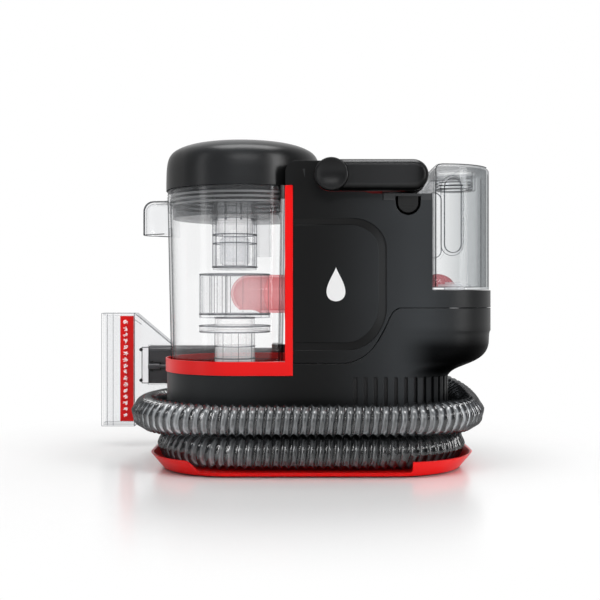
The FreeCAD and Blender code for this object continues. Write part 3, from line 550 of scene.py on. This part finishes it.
# ------------------------------------------------------------------ ribbed suction hose
LOWER_Z, UPPER_Z = 19.2, 46.6         # centre heights of the two wraps round the machine
TOOL_Y = 90.0                         # centre plane of the hand tool
ROUTE_STEP = 9.0                      # about the distance between route points
RIB_PITCH = 7.3
RING_STEP = RIB_PITCH/8
HOSE_SEGS = 36
HOSE_RADIUS, RIB_DEPTH = 15.0, 4.0

# Each row goes on from the last. A straight run is (end x, end y, end z);
# a bend is (centre x, centre y, radius, from degrees, to degrees, end z).
HOSE_START = (-6.0, 82, LOWER_Z)
HOSE_ROUTE = [
    (-49.5, 82, LOWER_Z), (-49.5, 17, 65, 90, 180, LOWER_Z),
    (-114.5, -17, LOWER_Z), (-49.5, -17, 65, 180, 270, LOWER_Z),
    (69.5, -82, LOWER_Z), (69.5, -17, 65, -90, 0, LOWER_Z),
    (134.5, 17, LOWER_Z), (71.5, 22, 63, 0, 45, 19.6), (71.5, 25, 63, 45, 90, 26.5),
    (28, 88, UPPER_Z-.5), (-66, 88, UPPER_Z), (-66, 16, 72, 90, 180, UPPER_Z),
    (-138, -16, UPPER_Z), (-66, -16, 72, 180, 270, UPPER_Z),
    (80, -88, UPPER_Z), (80, -16, 72, -90, 0, UPPER_Z+.6),
    (152, 16, UPPER_Z+4), (152, 18, UPPER_Z+4), (80, 18, 72, 0, 90, 74),
    (58, TOOL_Y, 80.2)]
HOSE_END = [(54, TOOL_Y, 80.5), (51, TOOL_Y, 80.6), (48.2, TOOL_Y, 80.6)]


def bend(start_z, center_x, center_y, radius, start, end, end_z):
    n = max(2, int(abs(math.radians(end-start))*radius/ROUTE_STEP))
    return [(*polar(center_x, center_y, radius, start+(end-start)*i/n),
             start_z+(end_z-start_z)*i/n) for i in range(1, n+1)]


def straight(start, end):
    """Even steps in x, eased in y and z."""
    (x0, y0, z0), (x1, y1, z1) = start, end
    n = max(1, int(math.hypot(x1-x0, y1-y0)/ROUTE_STEP))
    points = []
    for i in range(1, n+1):
        t = i/n
        eased = t*t*(3-2*t)
        points.append((x0+(x1-x0)*t, y0+(y1-y0)*eased, z0+(z1-z0)*eased))
    return points


def hose_points():
    points = [HOSE_START]
    for row in HOSE_ROUTE:
        points += straight(points[-1], row) if len(row) == 3 else bend(points[-1][2], *row)
    for _ in range(6):
        inner = [tuple((a[k]+2*b[k]+c[k])/4 for k in range(3))
                 for a, b, c in zip(points, points[1:], points[2:])]
        points = [points[0]]+inner+[points[-1]]
    points += HOSE_END
    # drop points that crowd the one before
    kept = [Vector(points[0])]
    for point in points[1:]:
        if (Vector(point)-kept[-1]).length_squared > 7:
            kept.append(Vector(point))
    return kept


def catmull(points, step):
    """Catmull-Rom curve through points, sampled at even steps."""
    dense = []
    padded = [points[0]*2-points[1]]+points+[points[-1]*2-points[-2]]
    for i in range(1, len(padded)-2):
        a, b, c, d = padded[i-1:i+3]
        for k in range(12):
            t = k/12
            dense.append(.5*((2*b)+(c-a)*t+(2*a-5*b+4*c-d)*t*t+(3*b-a-3*c+d)*t**3))
    dense.append(points[-1])
    even, walked = [dense[0]], 0.0
    for a, b in zip(dense, dense[1:]):
        length = (b-a).length
        while walked+length >= step:
            a = a.lerp(b, (step-walked)/length)
            even.append(a)
            length = (b-a).length
            walked = 0.0
        walked += length
    even.append(points[-1])
    return even


def rib_wave(ring, turn):
    """0 on a crest, 1 in a valley; the ribs wind round as a helix."""
    return abs(math.sin(math.pi*(ring*RING_STEP/RIB_PITCH+turn)))


def hose_radius(ring, angle):
    return HOSE_RADIUS-RIB_DEPTH*rib_wave(ring, angle/(2*math.pi))**.72


hose_path = catmull(hose_points(), RING_STEP)
hose = build("hose_ribbed", [sweep(hose_path, hose_radius, HOSE_SEGS)], "hose_smoke", "base")
add_attribute(hose, "rib", [rib_wave(ring, k/HOSE_SEGS)
                            for ring in range(len(hose_path)) for k in range(HOSE_SEGS)])
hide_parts("suction_hose")
build("hose_core", [sweep(hose_path[::4]+[hose_path[-1]], 10.9, 20)], "inner_black", "base")

# ------------------------------------------------------------------ separator and float cage
SEPARATOR_X = -60
# z, radius, thickness
CAGE_RINGS = [(237.6, 20.2, .7), (231, 20.2, .5), (224, 20.3, .5), (206, 20.2, .6),
              (198, 20.2, .5), (176.5, 20.3, .8)]
SEPARATOR_RINGS = [(169.6, 31.8, .8), (133.4, 32.3, .7), (122.6, 32.3, .7),
                   (117.4, 32.0, .7), (130, 18.4, .7), (104, 18.5, .5), (93, 18.6, .7)]


def rings(rows):
    return [torus(SEPARATOR_X, *row) for row in rows]


def upright_ribs(radius, heights, angles, thickness):
    return [tube([(*polar(SEPARATOR_X, 0, radius, a), z) for z in heights], thickness)
            for a in angles]


def cage_fin(degrees):
    """Small radial plate between the inner tube and the cage."""
    angle = math.radians(degrees)
    cos, sin = math.cos(angle), math.sin(angle)
    verts, faces = block(16.5, 19.6, -.5, .5, 219, 236)
    return [(SEPARATOR_X+x*cos-y*sin, x*sin+y*cos, z) for x, y, z in verts], faces


build("cage_rings", rings(CAGE_RINGS), "line_mid", "lid")
build("separator_rings", rings(SEPARATOR_RINGS), "line_mid", "recovery_tank")
inner_tube = [(16.4, 206.5), (16.4, 236), (15.2, 236), (15.2, 206.5)]   # radius, z
build("cage_inner_tube", [lathe(SEPARATOR_X, 0, inner_tube, 48)], "clear_frost", "lid")
build("cage_ribs", upright_ribs(20.3, (177, 206, 237), range(8, 368, 30), .30),
      "line_mid", "lid")
build("separator_ribs", upright_ribs(18.6, (86, 100, 116), range(14, 374, 45), .26)
      + upright_ribs(32.6, (131, 150, 169), range(20, 380, 60), .24),
      "line_mid", "recovery_tank")
build("cage_fins", [cage_fin(45*k+22) for k in range(8)], "line_mid", "lid",
      smooth=False)


# ------------------------------------------------------------------ droplet on the near panel
def droplet(center_x, center_z, size, count=40):
    outline = []
    for i in range(count):
        t = 2*math.pi*i/count
        x = math.sin(t)*(math.sin(t/2))**1.6
        outline.append((center_x+x*size*.80, center_z+math.cos(t)*size))
    return outline


build("mark_droplet", [plate(droplet(30.5, 160, 14.5), -70.22, -69.9)], "mark_white", "base",
      smooth=False)

# ------------------------------------------------------------------ side panels and buttons
# Sloped relief channel in the CAD groove, with painted shade on its runs along x and painted
# light on its upright run: outer x, z; inner x, z; tone, from painted shade (0) to painted
# light (1); distance of the outer and inner line from the centre plane
CHANNEL = [
    (-5, 216, -5, 210.5, 0, 69.55, 69.05),
    (20, 216, 20, 210.5, 0, 69.55, 69.05),
    (45, 216, 42, 210.5, 0, 69.55, 69.05),
    (53, 214.6, 49, 209.2, 0, 69.55, 69.05),
    (60, 211.6, 55, 207, 0, 69.55, 69.05),
    (66, 207, 60, 203.4, .35, 69.3, 69.2),
    (70.3, 201, 63.8, 198.4, .75, 69.1, 69.5),
    (72.7, 195, 66, 193, 1, 69.05, 69.75),
    (73.5, 189, 67, 188, 1, 69.05, 69.75),
    (73.5, 163, 67, 163, 1, 69.05, 69.75),
    (73.5, 136.5, 67, 139, 1, 69.05, 69.75),
    (72.4, 130.5, 66, 133.2, .9, 69.1, 69.6),
    (69, 122, 63, 126.4, .6, 69.3, 69.3),
    (63, 114, 57.5, 119, .25, 69.55, 69.05),
    (56, 108.6, 51.5, 114.2, .05, 69.55, 69.05),
    (48, 105.2, 45, 111.4, 0, 69.55, 69.05),
    (40, 104, 38, 110.5, 0, 69.55, 69.05),
    (18, 104, 18, 110.5, 0, 69.55, 69.05),
    (-5, 104, -5, 110.5, 0, 69.55, 69.05)]
BUTTON_X, BUTTON_Z = 91.8, 229.4      # centre of the button's round lower end
# x, z
DECK_LIP = [(71, 231.4), (71, 237.0), (111.6, 237.0), (111.6, 231.4), (102.8, 231.4),
            (102.8, 234.8), (80.8, 234.8), (80.8, 231.4)]


def cut_corners(rows, rounds):
    """Smooth an open line of stations by cutting each corner at a quarter."""
    for _ in range(rounds):
        cut = [rows[0]]
        for a, b in zip(rows, rows[1:]):
            cut += [tuple(p*.75+q*.25 for p, q in zip(a, b)),
                    tuple(p*.25+q*.75 for p, q in zip(a, b))]
        rows = cut+[rows[-1]]
    return rows


def u_outline(radius, top, step):
    """U of (x, z) round the button's lower end, open at the top."""
    return [(BUTTON_X-radius, top), *arc(BUTTON_X, BUTTON_Z, radius, range(180, 361, step)),
            (BUTTON_X+radius, top)]


channel_rows = cut_corners(CHANNEL, 2)
channel_outer = [(row[0], row[1], row[5]) for row in channel_rows]
channel_inner = [(row[2], row[3], row[6]) for row in channel_rows]
gap_u = u_outline(10.3, 234.6, 12)
gap_outline = gap_u[:2]+gap_u[1:-1]+gap_u[-2:]     # both ends of the arc are doubled
ring_outer = [(x, z, 69.92) for x, z in u_outline(10.1, 236.7, 10)]
ring_inner = [(x, z, 69.86) for x, z in u_outline(8.5, 236.7, 10)]

for name, side in SIDES:
    channel = build("channel_"+name, [strip(channel_outer, channel_inner, side)], "channel",
                    "base", sharp=40)
    # tone paints shade and light along the channel
    add_attribute(channel, "tone", [row[4] for row in channel_rows]*4)
    # painted shadow: a black plate behind each release button's gap, and a black rim on each
    # button
    build("tab_gap_painted_shadow_"+name, [plate(gap_outline, side*63.35, side*63.85)], "dark_gap", "base",
          smooth=False)
    build("tab_ring_painted_shadow_"+name, [strip(ring_outer, ring_inner, side)], "dark_gap",
          "button_"+name, smooth=False)
    ridges = [block(BUTTON_X-5, BUTTON_X+5, *sorted((side*69.7, side*70.1)), z, z+.9)
              for z in (222.6, 225.2, 227.8)]
    build("button_ridges_"+name, ridges, "button_black", "button_"+name, smooth=False)

for name, side in SIDES:
    build("deck_lip_"+name, [plate(DECK_LIP, *sorted((side*69.5, side*70.1)))], "lip_grey",
          "base", smooth=False)

# ------------------------------------------------------------------ clean-tank edge lines
GROOVE_X = 131.3                      # middle of the grip groove
GROOVE_LOW, GROOVE_HIGH = 194.5, 244  # centres of its round ends
GROOVE_STEP = 6.19                    # between points on its straight sides
# y, half width, thickness of the line
GROOVE_LINES = [(-61.9, 7.3, .34), (-57.6, 7.2, .26), (-55.1, 9.7, .26),
                (61.9, 7.3, .34), (57.6, 7.2, .26)]
TANK_EDGE_X, TANK_EDGE_Y = 116.3, 60.9
TANK_TOP = 263.3


def groove_line(y, radius, thickness):
    outline = [(GROOVE_X-radius, GROOVE_LOW+k*GROOVE_STEP) for k in range(9)]
    outline += arc(GROOVE_X, GROOVE_HIGH, radius, range(165, -1, -15))
    outline += [(GROOVE_X+radius, GROOVE_HIGH-k*GROOVE_STEP) for k in range(1, 9)]
    outline += arc(GROOVE_X, GROOVE_LOW, radius, range(-15, -181, -15))
    return tube([(x, y, z) for x, z in outline], thickness)


def tank_edges(side):
    """Upright line at low x, line over the top edge, upright line at high x."""
    y = side*TANK_EDGE_Y
    top = [(TANK_EDGE_X, y, 258.5), (117.0, y, 261.0), (118.6, side*61.0, 262.7),
           (121.5, side*61.2, TANK_TOP), (125.5, side*61.2, TANK_TOP)]
    top += [(x, side*y, TANK_TOP) for x, y in arc(125.5, 18, 43.0, range(82, 25, -8))]
    return [tube([(TANK_EDGE_X, y, z) for z in (158, 190, 225, 258.5)], .42),
            tube(top, .40),
            tube([(169.55, side*17, z) for z in (158, 190, 225, 259.5)], .34)]


build("clean_tank_groove_lines", [groove_line(*row) for row in GROOVE_LINES], "line_mid",
      "clean_tank")
build("cap_thread", [torus(CLEAN_TANK_X, z, 16.15, .42) for z in (250.4, 253.2)],
      "line_dark", "fill_cap")
build("cap_thread_upper", [torus(CLEAN_TANK_X, z, 16.15, .35) for z in (256.2, 259.0)],
      "clear_sharp", "fill_cap")
build("clean_tank_edges", tank_edges(-1)+tank_edges(1), "line_dark", "clean_tank")

# ------------------------------------------------------------------ recovery tank lines
RECOVERY_X = -52                      # axis of the tank's round end
WALL_RADIUS, WALL_TOP, WALL_TAPER = 69.0, 244, .0214
VANES = [(-82, 9), (-77.5, 15), (-70, 20), (-65.5, 22)]      # x, distance from centre plane

rim_lines = [tube([(x, y, z) for x, y in arc(RECOVERY_X, 0, radius, range(64, 297, 4))], .28)
             for z, radius in ((244.2, 69.05), (241.6, 68.98))]
build("tank_rim_lines", rim_lines, "line_mid", "recovery_tank")
parting_lines = [
    tube([(*polar(RECOVERY_X, 0, WALL_RADIUS-WALL_TAPER*(WALL_TOP-z), angle), z)
          for z in (90, 130, 170, 210, 240)], .36)
    for angle in (172.4, 187.6)]
build("tank_parting_lines", parting_lines, "line_dark", "recovery_tank")
vanes = [tube([(x, side*y, z) for z in (133.4, 150, 168.5)], .32)
         for x, y in VANES for side in (-1, 1)]
build("cup_vanes", vanes, "line_mid", "recovery_tank")
# small light wedge on the near panel: a painted reflection
build("corner_painted_reflection", [plate([(2.2, 258.0), (4.2, 258.0), (4.2, 250.0)], -70.12, -69.9)],
      "channel_light", "base", smooth=False)

# ------------------------------------------------------------------ spout edge beads
SPOUT_TIP_X, SPOUT_LOW, SPOUT_TOP = -143.3, 205.7, 236.7
SPOUT_BEND = 9                        # radius of the bend from the tip into the top
LIP_X, LIP_HALF_WIDTH = -132, 12.6    # centre and half width of the rounded lower edge

spout_beads = []
for side in (-1, 1):
    ridge = [(SPOUT_TIP_X, z) for z in (205.8, 214, 221)]
    ridge += arc(SPOUT_TIP_X+SPOUT_BEND, 227.6, SPOUT_BEND, range(180, 89, -10))
    ridge += [(-128, SPOUT_TOP), (-121, SPOUT_TOP)]
    spout_beads.append(tube([(x, side*2.0, z) for x, z in ridge], .48))
    flank = ((LIP_X, LIP_HALF_WIDTH), (-127, 17.2), (-122, 21.8))
    spout_beads.append(tube([(x, side*y, SPOUT_LOW) for x, y in flank], .44))
lip_angles = [math.radians(a) for a in range(90, 271, 15)]
spout_beads.append(tube([(LIP_X+11.4*math.cos(a), LIP_HALF_WIDTH*math.sin(a), SPOUT_LOW)
                         for a in lip_angles], .36))
build("spout_beads", spout_beads, "line_dark", "recovery_tank")

# ------------------------------------------------------------------ hand tool
NOZZLE_Y = TOOL_Y-14.1                # near face of the nozzle
NOZZLE_LOW, NOZZLE_HIGH = 20.3, 132.7
# open lines of x, y, z
NOZZLE_LINES = [
    [(-197.8, NOZZLE_Y, NOZZLE_LOW), (-165, NOZZLE_Y, NOZZLE_LOW),
     (-165, NOZZLE_Y, NOZZLE_HIGH), (-197.8, NOZZLE_Y, NOZZLE_HIGH),
     (-197.8, NOZZLE_Y, NOZZLE_LOW)],
    [(-192.2, NOZZLE_Y, 21), (-192.2, NOZZLE_Y, 132)],
    [(-186.4, NOZZLE_Y, 21), (-186.4, NOZZLE_Y, 132)],
    [(-165, NOZZLE_Y, NOZZLE_HIGH), (-142, TOOL_Y-11.6, 113.5), (-121, TOOL_Y-9.2, 95.6)],
    [(-165, NOZZLE_Y, NOZZLE_LOW), (-142, TOOL_Y-11.6, 43.5), (-121, TOOL_Y-9.2, 66.6)],
    [(-165, NOZZLE_Y+.2, 126.4), (-158, TOOL_Y-13.4, 121.6)],
    [(-165, NOZZLE_Y+.2, 26.6), (-158, TOOL_Y-13.4, 31.6)]]
COLLAR_X = (-157.6, -150.9)
COLLAR_Z = (63.2, 98.8)
KNOB_Z = 80
KNOB_STEPS = [(-149.5, -146.0, 5.2), (-146.0, -138.0, 4.2),
              (-138.0, -133.5, 2.6)]  # x from, x to, half height


def lines_to_beads(lines, radius):
    return [bead(a, b, radius) for line in lines for a, b in zip(line, line[1:])]


def knob_step(x0, x1, half):
    """Plate with its two corners at low x cut off."""
    low, high = KNOB_Z-half, KNOB_Z+half
    outline = [(x0, low+.8), (x0+.6, low), (x1, low), (x1, high), (x0+.6, high),
               (x0, high-.8)]
    return plate(outline, TOOL_Y-14.3, TOOL_Y-12.4)


pin_profile = [(0.01, -.9), (1.7, -.9), (1.7, .9), (0.01, .9)]          # radius, y
build("collar_pins", [lathe_along_y(-158.5, TOOL_Y-13.9, z, pin_profile)
                      for z in (66.0, 96.5)], "button_black", "tool", smooth=False)
build("nozzle_beads", lines_to_beads(NOZZLE_LINES, .28), "line_mid", "tool")
build("collar_face", [block(*COLLAR_X, NOZZLE_Y, TOOL_Y-13.5, *COLLAR_Z)], "collar_frost",
      "tool", smooth=False)
collar_corners = [(COLLAR_X[i], TOOL_Y-14.2, COLLAR_Z[j])
                  for i, j in ((0, 0), (0, 1), (1, 1), (1, 0), (0, 0))]
build("collar_outline", lines_to_beads([collar_corners], .42), "line_dark", "tool")
build("spray_knob", [knob_step(*row) for row in KNOB_STEPS], "button_black", "tool",
      smooth=False)
build("tool_ribs", [block(-82+k*3.4, -80.4+k*3.4, TOOL_Y-12.0, TOOL_Y-11.4, 74, 92)
                    for k in range(4)], "tool_grey", "tool", smooth=False)

# ------------------------------------------------------------------ brush tufts
TUFT_X = -173.6
TUFT_HEIGHTS = [31.4+6.15*i for i in range(16)]
BRISTLES = 16                         # in each tuft
SPREAD = .75                          # how far the outer tips lean out
CORNER_ANGLE = 1.2566                 # a fifth of a turn, for five-sided bristles


def bristle(tuft_z, rnd):
    angle = rnd.random()*6.283
    off = 1.55*math.sqrt(rnd.random())
    cos, sin = math.cos(angle), math.sin(angle)
    root_x, root_z = TUFT_X+off*cos, tuft_z+off*sin
    tip_x = root_x+SPREAD*cos*off/1.5+rnd.uniform(-.3, .3)
    tip_z = root_z+SPREAD*sin*off/1.5+rnd.uniform(-.3, .3)
    reach = 17.2+rnd.uniform(-.5, .4)
    ends = ((root_x, root_z, TOOL_Y-13.05, .40), (tip_x, tip_z, TOOL_Y-reach, .36))
    verts = [(x+r*math.cos(CORNER_ANGLE*j), y, z+r*math.sin(CORNER_ANGLE*j))
             for x, z, y, r in ends for j in range(5)]
    faces = [(j, (j+1) % 5, 5+(j+1) % 5, 5+j) for j in range(5)]
    return verts, faces+[(5, 6, 7, 8, 9), (4, 3, 2, 1, 0)]


rnd = random.Random(7)
tufts = build("brush_bristles", [bristle(z, rnd) for z in TUFT_HEIGHTS
                                 for _ in range(BRISTLES)], "tuft_white", "tool")
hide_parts("brush_tufts")
socket_profile = [(1.95, 0), (2.5, 0), (2.5, .35), (1.95, .35)]         # radius, y
build("tuft_sockets", [lathe_along_y(TUFT_X, TOOL_Y-13.35, z, socket_profile)
                       for z in TUFT_HEIGHTS], "trim_red", "tool")

# ------------------------------------------------------------------ stage, light and camera
bpy.ops.mesh.primitive_plane_add(size=40, location=(0, 0, -0.0002))
floor = bpy.context.object
floor.name = "floor"
# glossy near the machine, fading to plain white further out
shader = new_look("floor", "m_floor")
distance = shader.vector("LENGTH", shader.add("NewGeometry")).outputs["Value"]
fade = shader.remap(distance, (.19, .40), interpolation_type="SMOOTHSTEP")
glossy = shader.add("BsdfPrincipled", {"Base Color": (.68, .68, .68, 1), "Roughness": .20,
                                       "Specular IOR Level": .9})
white = shader.add("Emission", {"Color": (1, 1, 1, 1), "Strength": 1.0})
shader.finish(shader.mix(fade, glossy, white))
floor.data.materials.append(shader.owner)

# lights the machine from behind (+y) and stays dark on the camera's side; the camera sees white
scene.world = bpy.data.worlds.new("studio")
shader = Shader(scene.world, "OutputWorld")
direction = shader.add("SeparateXYZ", {0: shader.add("TexCoord").outputs["Generated"]})
sky = shader.ramp(shader.remap(direction.outputs["Y"], (-1, 1)), [
    (0.0, (.022, .022, .024)), (.42, (.07, .07, .075)), (.56, (.60, .60, .61)),
    (.68, (1, 1, 1))])
is_camera = shader.add("LightPath").outputs["Is Camera Ray"]
seen = shader.mix_color(is_camera, sky, (1, 1, 1, 1))
shader.finish(shader.add("Background", {"Color": seen.outputs[2], "Strength": 1.0}))

# name, place, aim, width, height (metres), power (watts)
AREA_LIGHTS = [
    ("key_top", (0.02, -0.15, 1.2), (0, 0, .12), 1.0, .55, 13),
    ("side_right", (1.0, -0.75, .50), (0.1, 0, .15), .40, 1.0, 9),
    ("side_left", (-1.05, -0.60, .45), (-0.1, 0, .15), .22, 1.0, 1.4),
    ("fill_front", (0.10, -1.5, .95), (0.02, 0, .05), 1.1, .25, 4)]
for name, place, aim, width, height, power in AREA_LIGHTS:
    light = bpy.data.lights.new(name, "AREA")
    light.shape = "RECTANGLE"
    light.size = width
    light.size_y = height
    light.energy = power
    lamp = bpy.data.objects.new(name, light)
    scene.collection.objects.link(lamp)
    lamp.location = place
    lamp.rotation_euler = (Vector(aim)-Vector(place)).to_track_quat("-Z", "Y").to_euler()

lens = bpy.data.cameras.new("camera")
camera = bpy.data.objects.new("camera", lens)
scene.collection.objects.link(camera)
lens.sensor_width = 36.0
lens.lens = 58.7
lens.shift_y = -0.0067
lens.clip_start = .01
lens.clip_end = 100
camera.location = to_frame(0, -900, 150)
camera.rotation_euler = (math.radians(90), 0, 0)
scene.camera = camera
scene.view_settings.view_transform = "Standard"
scene.view_settings.look = "None"
scene.view_settings.exposure = 0.0
scene.cycles.transparent_max_bounces = 48
scene.cycles.max_bounces = 10
scene.cycles.sample_clamp_indirect = 4.0
